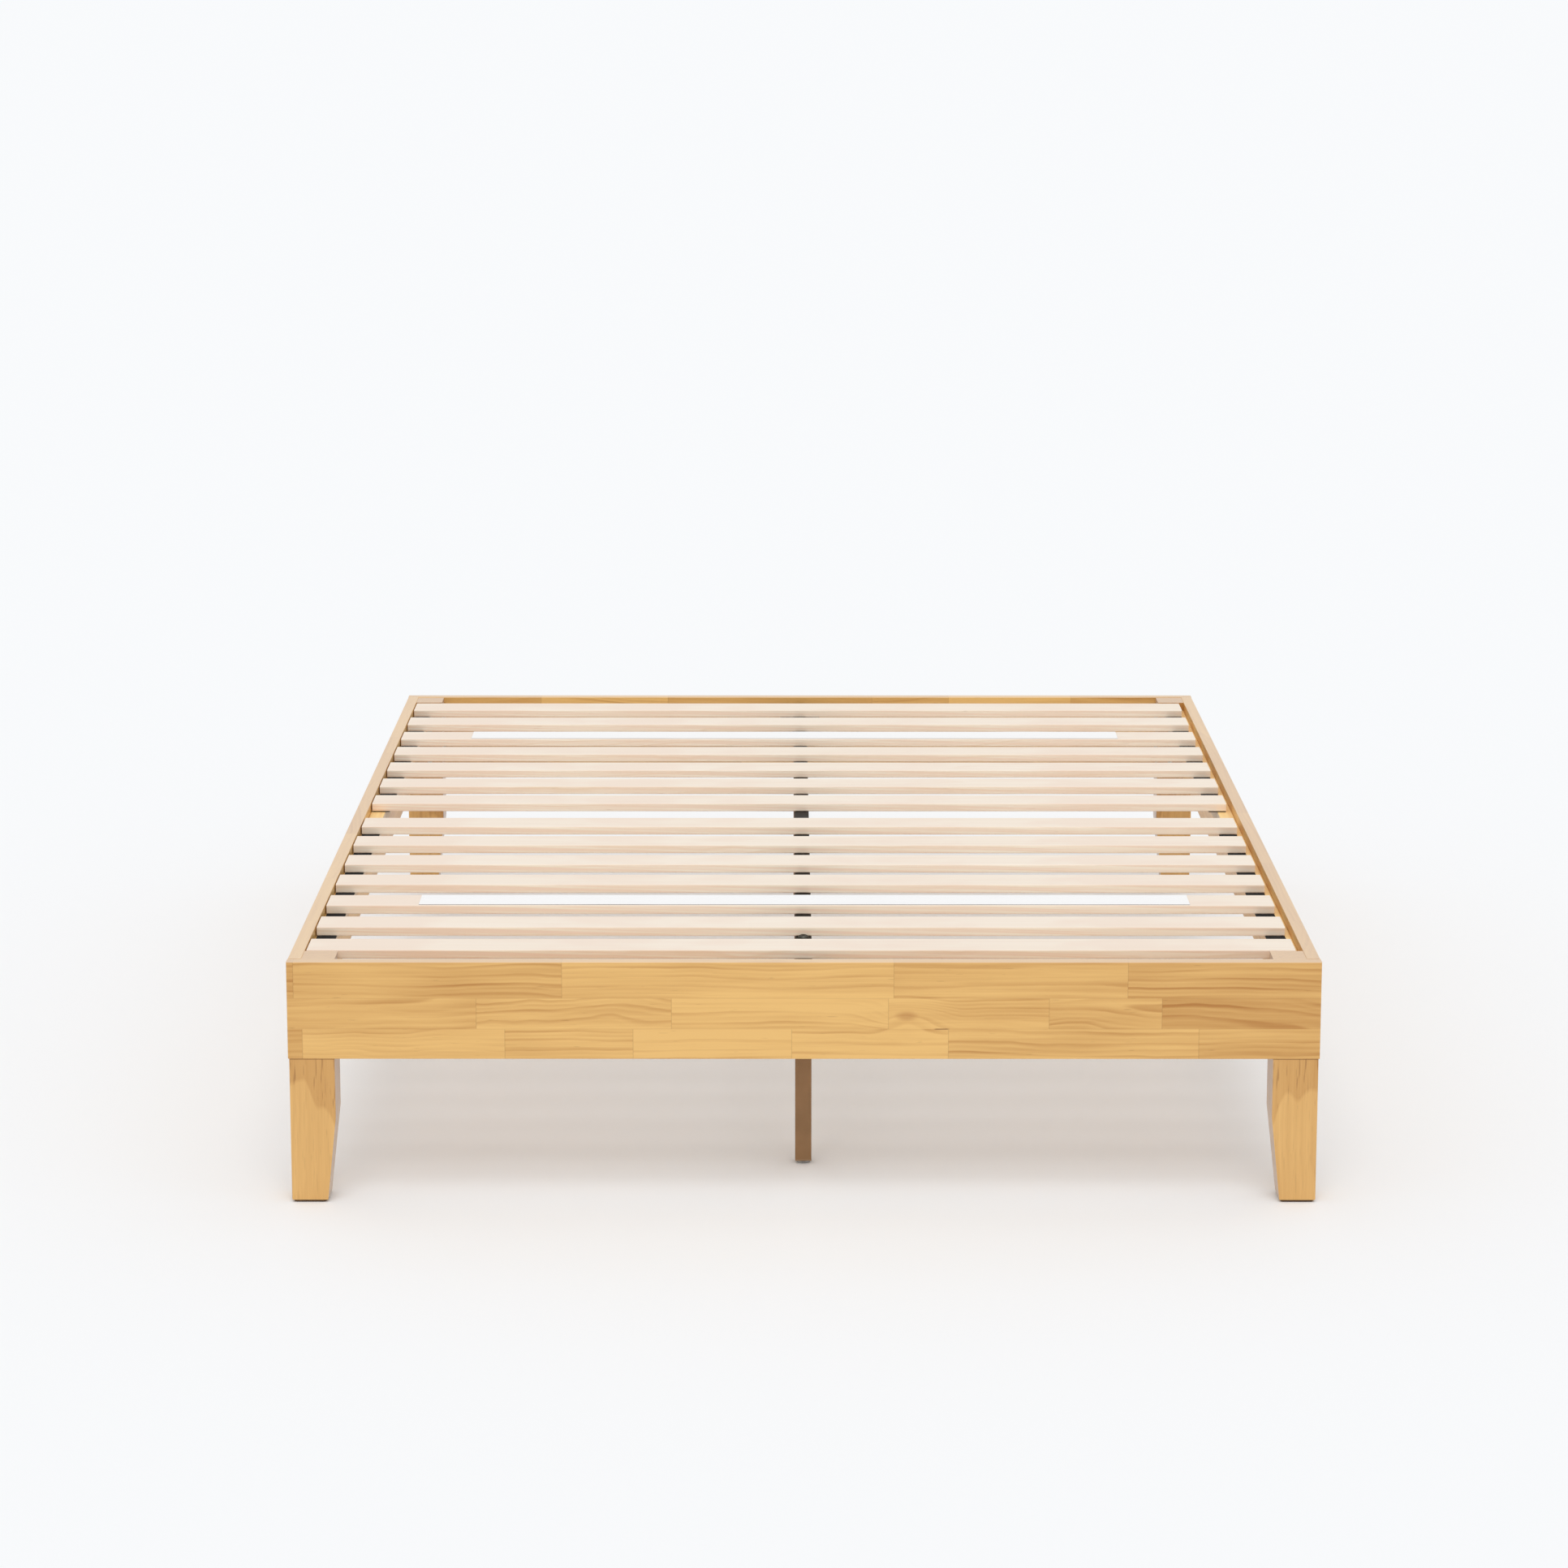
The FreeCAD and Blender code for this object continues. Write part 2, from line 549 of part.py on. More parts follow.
crown = Part.makeBox(size("staple_crown"), size("staple_wire"), size("staple_wire"),
                     Vector(size("-staple_crown / 2"), size("-staple_wire / 2"), size("-strap_thick")))
legs = [Part.makeBox(size("staple_wire"), size("staple_wire"), size("strap_thick + staple_leg"),
                     Vector(x, size("-staple_wire / 2"), size("-strap_thick")))
        for x in (size("-staple_crown / 2"), size("staple_crown / 2 - staple_wire"))]
staple = doc.addObject("Part::Feature", "staple_pattern")
staple.Shape = crown.multiFuse(legs).removeSplitter()

for end_sign, end in ENDS:
    numbers = [n for n in SLAT_PLACES if (n <= SLATS_IN_PACK) == (end_sign < 0)]
    rows = [size(f"{SLAT_PLACES[n]} {row} staple_spread / 2") for n in numbers for row in ("-", "+")]
    lines = {side: size(f"{SLAT_MIDDLE} + {sign} * (slat_length - strap_width) / 2") for sign, side in SIDES}
    staples = set_out(f"{end}_pack_staples", staple, [
        Placement(Vector(line, along, size(SLAT_BOTTOM)), Rotation())
        for line in lines.values() for along in rows])
    strap_length = f"({SLATS_IN_PACK - 1} * slat_pitch + slat_width)"
    start = "slat_margin - bed_length / 2" if end_sign < 0 else f"bed_length / 2 - slat_margin - {strap_length}"
    for sign, side in SIDES:
        left_edge = f"{SLAT_MIDDLE} + {sign} * (slat_length - strap_width) / 2 - strap_width / 2"
        webbing = plain_box(f"{end}_{side}_webbing", "strap_width", strap_length, "strap_thick",
                            left_edge, start, f"{SLAT_BOTTOM} - strap_thick")
        strap = doc.addObject("Part::Cut", f"{end}_{side}_strap")
        strap.Label = f"{end}_{side}_strap"
        strap.Base = webbing
        strap.Tool = staples
        pieces.append(strap)

# Grip tape on the third slat from each end, with its liner still on.
for end, number, shift in (("foot", 3, "2"), ("head", 2 * SLATS_IN_PACK - 2, "-11")):
    low_corner = (f"{shift} - tape_length / 2", f"{SLAT_PLACES[number]} - tape_width / 2")
    top = f"({SLAT_BOTTOM} + slat_thick)"
    pieces.append(plain_box(f"{end}_grip_tape", "tape_length", "tape_width", "tape_thick", *low_corner, top))
    pieces.append(plain_box(f"{end}_tape_liner", "tape_length", "tape_width", "liner_thick", *low_corner,
                            f"{top} + tape_thick"))

# Centre beam: an oblong steel tube on edge, with a hole through it above each centre leg.
LEG_PLACES = {"foot": "-(bed_length / 2 - centre_leg_setback)", "middle": "-middle_leg_shift",
              "head": "bed_length / 2 - centre_leg_setback"}
beam = new_body("centre_beam", "0", "0", BEAM_BOTTOM)
square_tube(beam, "beam_width", "beam_height", "XZ_Plane",
            f"2 * ({INNER_LENGTH} - plate_thick - beam_end_gap)", symmetric=True)
beam_bores = new_sketch(beam, "XY_Plane")
for along in LEG_PLACES.values():
    add_circle(beam_bores, "0", along, "leg_bolt_shank + 0.6")
pocket(beam, beam_bores)


def beam_bracket(label, y, turn):
    """Steel hanger for one end of the beam: a back plate on the end rail, and a cradle."""
    body = new_body(label, "0", y, f"{BEAM_BOTTOM} - plate_thick", turn)
    plate = new_sketch(body, "XZ_Plane")
    add_rectangle(plate, "-plate_width / 2", "plate_width / 2", "0", "plate_height")
    pad(body, plate, "plate_thick", reverse=True)
    inner = "(beam_width / 2 + cradle_gap)"
    outer = "(beam_width / 2 + cradle_gap + plate_thick)"
    cradle = new_sketch(body, "XZ_Plane")
    add_outline(cradle, (
        (f"-{outer}", "0"), (outer, "0"), (outer, "cradle_height"), (inner, "cradle_height"),
        (inner, "plate_thick"), (f"-{inner}", "plate_thick"), (f"-{inner}", "cradle_height"),
        (f"-{outer}", "cradle_height")))
    pad(body, cradle, "cradle_length", reverse=True)
    holes = new_sketch(body, "XZ_Plane")
    for across, up in bracket_screw_points(f"({BEAM_BOTTOM} - plate_thick)"):
        add_circle(holes, across, up, "plate_screw_shank + 0.5")
    pocket(body, holes)


plate_screw = turned("bracket_screw_pattern", (
    ("0", "-plate_screw_length"), ("plate_screw_shank / 2 - fit_gap", "2 - plate_screw_length"),
    ("plate_screw_shank / 2 - fit_gap", "0"), ("plate_screw_head / 2", "0"),
    ("plate_screw_head / 2", "plate_screw_rise / 2"), ("plate_screw_head / 4", "plate_screw_rise"),
    ("0", "plate_screw_rise")))
plate_screw_places = []
for sign, end in ENDS:
    beam_bracket(f"{end}_beam_bracket", f"{sign} * {INNER_LENGTH}", 0 if sign < 0 else 180)
    for across, up in bracket_screw_points("0"):
        plate_screw_places.append(facing(ALONG_Y * -sign, size(across),
                                         sign * size(f"{INNER_LENGTH} - plate_thick"), size(up)))
set_out("bracket_screws", plate_screw, plate_screw_places)

# Centre legs: square tubes with an insert in each end, a bolt down through the beam into the upper
# insert, and a levelling foot that screws into the lower one.
leg_bolt = turned("centre_leg_bolt_pattern", (
    ("0", "-leg_bolt_length"), ("leg_bolt_shank / 2 - fit_gap", "-leg_bolt_length"),
    ("leg_bolt_shank / 2 - fit_gap", "0"), ("leg_bolt_head / 2", "0"),
    ("leg_bolt_head / 2", "leg_bolt_rise"), ("0", "leg_bolt_rise")))
head_rim = size("leg_bolt_rise")
dress(leg_bolt, "Fillet", leg_bolt.Tip, "Radius", "leg_bolt_dome", lambda edge: (
    isinstance(edge.Curve, Part.Circle) and abs(edge.BoundBox.ZMin - head_rim) < 1e-6
    and edge.BoundBox.ZLength < 1e-6))
hex_socket(leg_bolt, "leg_bolt_rise", "leg_bolt_socket", "leg_bolt_rise / 2")

PLUG_SIDE = "(centre_leg_side - 2 * tube_wall - 2 * fit_gap)"
for place, along in LEG_PLACES.items():
    tube = new_body(f"{place}_centre_leg", "0", along, TUBE_BOTTOM)
    square_tube(tube, "centre_leg_side", "centre_leg_side", "XY_Plane",
                f"{BEAM_BOTTOM} - {TUBE_BOTTOM}", symmetric=False)
    for end, base in (("upper", f"{BEAM_BOTTOM} - plug_length"), ("lower", TUBE_BOTTOM)):
        plug = new_body(f"{place}_leg_{end}_insert", "0", along, base)
        plan = new_sketch(plug, "XY_Plane")
        add_rectangle(plan, f"-{PLUG_SIDE} / 2", f"{PLUG_SIDE} / 2", f"-{PLUG_SIDE} / 2", f"{PLUG_SIDE} / 2")
        pad(plug, plan, "plug_length")
        if end == "lower":
            flange = new_sketch(plug, "XY_Plane")
            half = "centre_leg_side / 2"
            add_rectangle(flange, f"-{half}", half, f"-{half}", half)
            pad(plug, flange, "plug_flange", reverse=True)
        bore = new_sketch(plug, "XY_Plane")
        add_circle(bore, "0", "0", "leg_bolt_shank")
        pocket(plug, bore)
    foot = turned(f"{place}_levelling_foot", (
        ("0", "0"), ("disc_across / 2", "0"), ("disc_across / 2", "disc_thick"),
        ("leg_bolt_shank / 2 - fit_gap", "disc_thick"),
        ("leg_bolt_shank / 2 - fit_gap", "disc_thick + stud_length"), ("0", "disc_thick + stud_length")),
        exported=True)
    set_place(foot, "0", along, "0")
    disc_rim = size("disc_across / 2")
    dress(foot, "Fillet", foot.Tip, "Radius", "disc_ease", lambda edge: (
        isinstance(edge.Curve, Part.Circle) and abs(edge.Curve.Radius - disc_rim) < 1e-6))
set_out("centre_leg_bolts", leg_bolt, [
    Placement(Vector(0, size(along), size(SLAT_BOTTOM)), Rotation()) for along in LEG_PLACES.values()])

# Nothing is written unless every object is sound.
doc.recompute()
for thing in doc.Objects:
    if "Invalid" in thing.State or "Error" in thing.State:
        raise RuntimeError(f"{thing.Name} is in state {thing.State}")
os.makedirs("parts", exist_ok=True)
for piece in pieces:
    if piece.Shape.isNull() or not piece.Shape.isValid():
        raise RuntimeError(f"{piece.Label} has no sound shape")
for piece in pieces:
    piece.Shape.exportStep(os.path.join("parts", f"{piece.Label}.step"))
print(len(pieces), "pieces")
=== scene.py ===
import math
import random

import bmesh
import bpy
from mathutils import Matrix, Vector


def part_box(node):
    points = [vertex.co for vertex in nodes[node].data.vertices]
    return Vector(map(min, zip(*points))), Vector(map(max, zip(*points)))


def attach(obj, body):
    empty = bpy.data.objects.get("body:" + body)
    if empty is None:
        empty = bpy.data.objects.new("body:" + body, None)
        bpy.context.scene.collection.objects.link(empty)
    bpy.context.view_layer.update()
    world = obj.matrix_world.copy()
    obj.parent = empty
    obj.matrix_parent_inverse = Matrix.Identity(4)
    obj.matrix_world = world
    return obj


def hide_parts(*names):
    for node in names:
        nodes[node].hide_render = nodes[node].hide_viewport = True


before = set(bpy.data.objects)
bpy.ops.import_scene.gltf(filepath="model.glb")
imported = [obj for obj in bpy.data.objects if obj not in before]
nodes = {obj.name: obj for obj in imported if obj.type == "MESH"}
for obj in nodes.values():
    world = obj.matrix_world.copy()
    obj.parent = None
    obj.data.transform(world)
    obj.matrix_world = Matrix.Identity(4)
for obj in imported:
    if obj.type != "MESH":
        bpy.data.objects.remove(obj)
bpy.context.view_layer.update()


# ---------------------------------------------------------------------------------------------
# Foot rail, head rail and the two side rails: boards of short pine staves, three rows high, glued
# edge to edge and end to end, planed, eased and finished with a clear satin varnish.

def add_node(tree, kind, values=None, **settings):
    """Add a shader node; values maps its inputs, by name or number, to sockets or constants."""
    made = tree.nodes.new("ShaderNode" + kind)
    for name, value in settings.items():
        setattr(made, name, value)
    for key, value in (values or {}).items():
        if isinstance(value, bpy.types.NodeSocket):
            tree.links.new(value, made.inputs[key])
        else:
            made.inputs[key].default_value = value
    return made


def calc(tree, operation, a, b=0.0, c=0.0):
    """One arithmetic step between sockets or numbers."""
    return add_node(tree, "Math", {0: a, 1: b, 2: c}, operation=operation).outputs[0]


def diagonal(tree, a, b):
    """The length that two sides at right angles make."""
    return calc(tree, "SQRT", calc(tree, "MULTIPLY_ADD", a, a, calc(tree, "MULTIPLY", b, b)))


def split(tree, vector):
    """The three parts of a vector or colour."""
    return add_node(tree, "SeparateXYZ", {0: vector}).outputs


def join(tree, x, y, z):
    """A vector from three sockets or numbers."""
    return add_node(tree, "CombineXYZ", {0: x, 1: y, 2: z}).outputs[0]


def where(tree):
    """The point on the object, in metres."""
    return add_node(tree, "TexCoord").outputs["Object"]


def span(tree, value, low, high, to_low=0.0, to_high=1.0, smooth=False):
    """Map a stretch of values on to another, held at both ends."""
    values = {"Value": value, "From Min": low, "From Max": high, "To Min": to_low, "To Max": to_high}
    kind = "SMOOTHSTEP" if smooth else "LINEAR"
    return add_node(tree, "MapRange", values, interpolation_type=kind).outputs["Result"]


def noise(tree, place, scale, detail=2.0, roughness=0.5):
    """Cloudy noise about 0.5; scale is cycles per metre along each axis."""
    stretched = add_node(tree, "VectorMath", {0: place, 1: scale}, operation="MULTIPLY").outputs[0]
    values = {"Vector": stretched, "Scale": 1.0, "Detail": detail, "Roughness": roughness}
    return add_node(tree, "TexNoise", values).outputs["Fac"]


def mix_colours(tree, amount, first, second):
    return add_node(tree, "Mix", {0: amount, 6: first, 7: second}, data_type="RGBA").outputs[2]


def set_colour(tree, shader, colour):
    tree.links.new(colour, shader.inputs["Base Color"])


def set_relief(tree, shader, height, strength, depth):
    """Bump the surface: strength is 0 to 1, depth is in metres."""
    bump = add_node(tree, "Bump", {"Height": height, "Strength": strength, "Distance": depth})
    tree.links.new(bump.outputs[0], shader.inputs["Normal"])


def new_material(name, roughness=0.5, specular=0.5, metallic=0.0, coat=0.0, coat_roughness=0.2):
    """An empty material with its Principled shader set up; returns it, its tree and its shader."""
    material = bpy.data.materials.new(name)
    material.use_nodes = True
    tree = material.node_tree
    shader = tree.nodes["Principled BSDF"]
    shader.inputs["Roughness"].default_value = roughness
    shader.inputs["Specular IOR Level"].default_value = specular
    shader.inputs["Metallic"].default_value = metallic
    shader.inputs["Coat Weight"].default_value = coat
    shader.inputs["Coat Roughness"].default_value = coat_roughness
    return material, tree, shader


def rgb(red, green, blue):
    """A colour given as it looks on a screen, 0 to 255, in the shader's linear light."""
    return (*[(v / 255 / 12.92 if v <= 10 else ((v / 255 + 0.055) / 1.055) ** 2.4)
              for v in (red, green, blue)], 1.0)


def darker(colour, share):
    """The same colour with only a share of its light."""
    return (*[part * share for part in colour[:3]], 1.0)


def grow_pine(tree, shader, place, heart, tone, wave, pale, dark, ring=0.0068, lines=0.44, clouds=0.60,
              swell=None):
    """Pine as it grows: year rings round a heart, cut by the faces of the board.

    place runs along the grain, across the face and into the board, in metres from the board's
    middle. heart holds three numbers from 0 to 1: how far the heart lies across the board, how
    far behind it, and how it leans along it. tone makes a stave darker and wave makes its rings
    wander; swell, when given, crowds extra rings round a knot.
    """
    along, across, behind = split(tree, place)
    heart_across, heart_behind, heart_lean = split(tree, heart)
    # Each stave comes from its own stretch of its own log.
    stretch = calc(tree, "MULTIPLY_ADD", heart_lean, 9.0, along)
    stretch = calc(tree, "MULTIPLY_ADD", heart_across, 17.0, stretch)
    in_log = join(tree, stretch, across, behind)
    drift = calc(tree, "MULTIPLY", calc(tree, "MULTIPLY_ADD", heart_lean, 0.12, -0.06), along)
    # The rings wander slowly and ripple quickly, more so in a wavy stave.
    wander = calc(tree, "MULTIPLY", calc(tree, "SUBTRACT", noise(tree, in_log, (4.5, 8, 8), 1.0), 0.5),
                  calc(tree, "MULTIPLY_ADD", wave, 0.085, 0.010))
    ripple = calc(tree, "MULTIPLY", calc(tree, "SUBTRACT", noise(tree, in_log, (20, 26, 26), 1.0), 0.5),
                  calc(tree, "MULTIPLY_ADD", wave, 0.004, 0.003))
    bend = calc(tree, "ADD", wander, ripple)
    # The heart lies up to 13 cm to either side, and 1.4 to 10.4 cm behind the board's middle.
    side = calc(tree, "MULTIPLY_ADD", drift, 0.6, calc(tree, "ADD", across, bend))
    side = calc(tree, "SUBTRACT", side, calc(tree, "MULTIPLY_ADD", heart_across, 0.26, -0.13))
    back = calc(tree, "ADD", behind, drift)
    back = calc(tree, "ADD", back, calc(tree, "MULTIPLY_ADD", heart_behind, 0.09, 0.014))
    uneven = calc(tree, "MULTIPLY", noise(tree, in_log, (3, 30, 30), 1.0), 1.8)
    years = calc(tree, "MULTIPLY_ADD", diagonal(tree, side, back), 1.0 / ring, uneven)
    if swell is not None:
        years = calc(tree, "ADD", years, swell)
    # Late wood darkens slowly through the year and ends sharply.
    season = calc(tree, "FRACT", years)
    late_wood = calc(tree, "MULTIPLY", span(tree, season, 0.05, 0.76, smooth=True),
                     span(tree, season, 0.78, 1.0, 1.0, 0.0, smooth=True))
    # Some years leave a strong line and others hardly any, and a line fades in places.
    year = calc(tree, "FLOOR", years)
    strength = add_node(tree, "TexWhiteNoise", {"W": year}, noise_dimensions="1D").outputs[0]
    strength = calc(tree, "MULTIPLY_ADD", calc(tree, "MULTIPLY", strength, strength), 0.85, 0.15)
    fading = span(tree, noise(tree, in_log, (5, 50, 50), 1.0), 0.36, 0.62, 0.30, 1.15)
    strength = calc(tree, "MULTIPLY", strength, fading)
    rings = calc(tree, "MULTIPLY", calc(tree, "MULTIPLY", late_wood, strength), lines)
    fibre = noise(tree, in_log, (12, 560, 560), 3.0, 0.6)
    band = noise(tree, in_log, (2.2, 120, 120), 2.0)
    cloud = noise(tree, in_log, (4, 22, 22), 2.0)
    stain = calc(tree, "ADD", rings, calc(tree, "MULTIPLY_ADD", fibre, 0.30, -0.15))
    stain = calc(tree, "ADD", stain, calc(tree, "MULTIPLY_ADD", band, 1.3 * lines, -0.65 * lines))
    stain = calc(tree, "ADD", stain, calc(tree, "MULTIPLY_ADD", cloud, clouds, 0.20 - 0.5 * clouds))
    stain = calc(tree, "ADD", stain, calc(tree, "MULTIPLY_ADD", tone, 0.80, -0.40))
    amount = add_node(tree, "Clamp", {"Value": stain, "Min": 0.0, "Max": 1.0}).outputs[0]
    colour = mix_colours(tree, amount, pale, dark)
    # Short resin streaks along the grain.
    streak = span(tree, noise(tree, in_log, (34, 380, 380), 1.0), 0.72, 0.82, 0.0, 0.30)
    colour = mix_colours(tree, streak, colour, darker(dark, 0.5))
    height = calc(tree, "MULTIPLY_ADD", rings, -0.5, calc(tree, "MULTIPLY", fibre, 0.6))
    set_relief(tree, shader, height, 0.22, 0.00025)
    return colour


def wash(tree, colour, facing, face_colour, amount):
    """Blend another colour into the faces that look along the facing direction: painted sheen on top
    faces, and greyer inward faces.
    """
    normal = add_node(tree, "TexCoord").outputs["Normal"]
    dot = add_node(tree, "VectorMath", {0: normal, 1: facing}, operation="DOT_PRODUCT")
    toward = dot.outputs["Value"]
    return mix_colours(tree, span(tree, toward, 0.45, 0.80, 0.0, amount), colour, face_colour)


def pick(tree, place, joints, choices):
    """Step from one choice to the next at each joint along a board or up it."""
    chosen = choices[0]
    for joint, choice in zip(joints, choices[1:]):
        chosen = mix_colours(tree, calc(tree, "GREATER_THAN", place, joint), chosen, choice)
    return chosen


def seam(tree, value, places, width):
    """A soft line, 1 at each place and 0 away from it."""
    line = 0.0
    for place in places:
        near = calc(tree, "ABSOLUTE", calc(tree, "SUBTRACT", value, place))
        line = calc(tree, "MAXIMUM", line, span(tree, near, 0.0, width, 1.0, 0.0))
    return line


RAIL_PALE = rgb(234, 188, 114)
RAIL_DARK = rgb(179, 121, 53)
# Painted sheen: the paler colour of the faces that look up.
PAINTED_TOP_SHEEN = rgb(239, 216, 190)
# Dark of the glue joints, also used for the painted shadow line under the rails.
GLUE_AND_SHADOW = rgb(112, 68, 28)
KNOT = rgb(166, 104, 44)
BUTT_LINE = 0.0009
ROW_HEIGHTS = (0.046, 0.047, 0.055)
GLUE_LINE = 0.0007
BUTT_SHOWS = 0.26
GLUE_SHOWS = 0.14
TOP_SHEEN_SHOWS = 0.55
VARNISH = {"roughness": 0.40, "specular": 0.35, "coat": 0.35, "coat_roughness": 0.30}
UP = (0, 0, 1)


def stave_board(name, node, grain, rows, knots=(), cracks=()):
    """Material of one rail; rows, from the lower edge up, list (length, heart, tone, wave)."""
    low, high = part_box(node)
    run, depth = (0, 1) if grain == "X" else (1, 0)
    start, length = low[run], high[run] - low[run]
    material, tree, shader = new_material(name, **VARNISH)
    place = split(tree, where(tree))
    along, height = place[run], place[2]
    behind = calc(tree, "SUBTRACT", place[depth], (low[depth] + high[depth]) / 2)
    edges = [low[2]]
    hearts, figures, butts, middles = [], [], [], []
    for row, row_height in zip(rows, ROW_HEIGHTS):
        total = sum(stave[0] for stave in row)
        joints = [start]
        for stave in row:
            joints.append(joints[-1] + stave[0] / total * length)
        hearts.append(pick(tree, along, joints[1:-1], [(*stave[1], 1.0) for stave in row]))
        tones_and_waves = [(stave[2], stave[3], 0.0, 1.0) for stave in row]
        figures.append(pick(tree, along, joints[1:-1], tones_and_waves))
        butt = seam(tree, along, joints[1:-1], BUTT_LINE)
        butts.append(join(tree, butt, butt, butt))
        centre = edges[-1] + row_height / 2
        middles.append((centre, centre, centre, 1.0))
        edges.append(edges[-1] + row_height)
    heart = pick(tree, height, edges[1:-1], hearts)
    tone, wave, _ = split(tree, pick(tree, height, edges[1:-1], figures))
    ends = split(tree, pick(tree, height, edges[1:-1], butts))[0]
    middle = split(tree, pick(tree, height, edges[1:-1], middles))[0]
    across = calc(tree, "SUBTRACT", height, middle)
    local = join(tree, along, across, behind)
    swell, scar = None, 0.0
    for knot_along, knot_height, knot_size in knots:
        # A knot cut at a slant is longer than it is high.
        beside = calc(tree, "MULTIPLY_ADD", along, 0.45, -0.45 * knot_along)
        away = diagonal(tree, beside, calc(tree, "SUBTRACT", height, knot_height))
        rise = span(tree, away, 0.0, 4.0 * knot_size, 3.2, 0.0, smooth=True)
        swell = rise if swell is None else calc(tree, "ADD", swell, rise)
        core = span(tree, away, 0.25 * knot_size, knot_size, 0.45, 0.0, smooth=True)
        scar = calc(tree, "MAXIMUM", scar, core)
    colour = grow_pine(tree, shader, local, heart, tone, wave, RAIL_PALE, RAIL_DARK, swell=swell)
    colour = mix_colours(tree, scar, colour, KNOT)
    line = calc(tree, "MAXIMUM", calc(tree, "MULTIPLY", ends, BUTT_SHOWS),
                calc(tree, "MULTIPLY", seam(tree, height, edges[1:-1], GLUE_LINE), GLUE_SHOWS))
    for crack_along, crack_height, crack_length in cracks:
        beside = calc(tree, "ABSOLUTE", calc(tree, "SUBTRACT", along, crack_along))
        reach = span(tree, beside, 0.3 * crack_length, 0.5 * crack_length, 0.9, 0.0)
        open_joint = calc(tree, "MULTIPLY", reach, seam(tree, height, [crack_height], 2 * GLUE_LINE))
        line = calc(tree, "MAXIMUM", line, open_joint)
    colour = mix_colours(tree, line, colour, GLUE_AND_SHADOW)
    # Painted sheen: the faces that look up are paler, for the varnish's reflection.
    colour = wash(tree, colour, UP, PAINTED_TOP_SHEEN, TOP_SHEEN_SHOWS)
    set_colour(tree, shader, colour)
    return material


def random_rows(seed, length):
    """Staves of random length and heart for one board."""
    draw = random.Random(seed)
    rows = []
    for _ in ROW_HEIGHTS:
        row, done = [], 0.0
        while done < length:
            stave = draw.uniform(0.16, 0.46)
            heart = (draw.random(), draw.random(), draw.random())
            tone = draw.uniform(0.25, 0.80)
            row.append((stave, heart, tone, draw.choice((0.0, 0.1, 0.2, 0.7))))
            done += stave
        rows.append(row)
    return rows


# The foot rail's staves, left to right, in metres: plain ones, a wavy one and a knotty one.
FOOT_RAIL_ROWS = (
    ((0.022, (0.20, 0.5, 0.60), 0.75, 0.0), (0.300, (0.62, 0.6, 0.95), 0.44, 0.3),
     (0.190, (0.95, 0.2, 0.45), 0.42, 0.0), (0.235, (0.05, 0.3, 0.52), 0.18, 0.0),
     (0.232, (0.90, 0.5, 0.56), 0.30, 0.0), (0.371, (0.12, 0.6, 0.47), 0.46, 0.1),
     (0.180, (0.80, 0.4, 0.60), 0.62, 0.1)),
    ((0.280, (0.55, 0.7, 0.90), 0.60, 0.3), (0.289, (0.16, 0.1, 0.50), 0.46, 1.0),
     (0.321, (0.04, 0.4, 0.50), 0.26, 0.0), (0.238, (0.72, 0.1, 0.25), 0.46, 0.2),
     (0.167, (0.52, 0.3, 0.20), 0.56, 0.8), (0.235, (0.28, 0.5, 0.75), 0.98, 0.3)),
    ((0.010, (0.80, 0.3, 0.50), 0.80, 0.0), (0.397, (0.10, 0.3, 0.53), 0.60, 0.1),
     (0.491, (0.95, 0.15, 0.49), 0.44, 0.1), (0.346, (0.70, 0.6, 0.60), 0.52, 0.1),
     (0.286, (0.08, 0.3, 0.50), 0.70, 0.0)),
)
FOOT_RAIL_KNOTS = ((0.152, 0.288, 0.010),)
FOOT_RAIL_CRACKS = ((0.204, 0.268, 0.026),)

head_low, head_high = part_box("head_rail")
side_low, side_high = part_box("left_side_rail")
rail_finishes = {
    "foot_rail": stave_board("foot rail pine", "foot_rail", "X", FOOT_RAIL_ROWS,
                             FOOT_RAIL_KNOTS, FOOT_RAIL_CRACKS),
    "head_rail": stave_board("head rail pine", "head_rail", "X",
                             random_rows(11, head_high[0] - head_low[0])),
    "left_side_rail": stave_board("left rail pine", "left_side_rail", "Y",
                                  random_rows(23, side_high[1] - side_low[1])),
    "right_side_rail": stave_board("right rail pine", "right_side_rail", "Y",
                                   random_rows(37, side_high[1] - side_low[1])),
}


def coat_with(material, *names):
    """Give CAD pieces their finish."""
    for name in names:
        nodes[name].material_slots[0].material = material


for rail, finish in rail_finishes.items():
    coat_with(finish, rail)


# ---------------------------------------------------------------------------------------------
# Corner legs: square posts of solid pine, sawn back for the rails and tapered towards the floor,
# varnished as the rails are, with a darker cloud of heart wood below the shoulder.

LEG_PALE = rgb(228, 181, 111)
LEG_DARK = rgb(178, 121, 56)
# Greyer and paler colour for the faces that look inward, towards the bed's middle.
INWARD_GREY = rgb(194, 179, 170)
INWARD_GREY_SHOWS = 0.68
SHOULDER_LINE = 0.0006
SHOULDER_SHOWS = 0.65
FLECK = rgb(130, 82, 36)
# The heart wood's border, above the floor, and how far it strays.
BORDER = (0.152, 0.159)
BORDER_STRAYS = 0.14
BORDER_LEANS = 0.7
HEART_WOOD_TONE = 0.38
ENDS = ("foot", "head")
SIDES = ("left", "right")


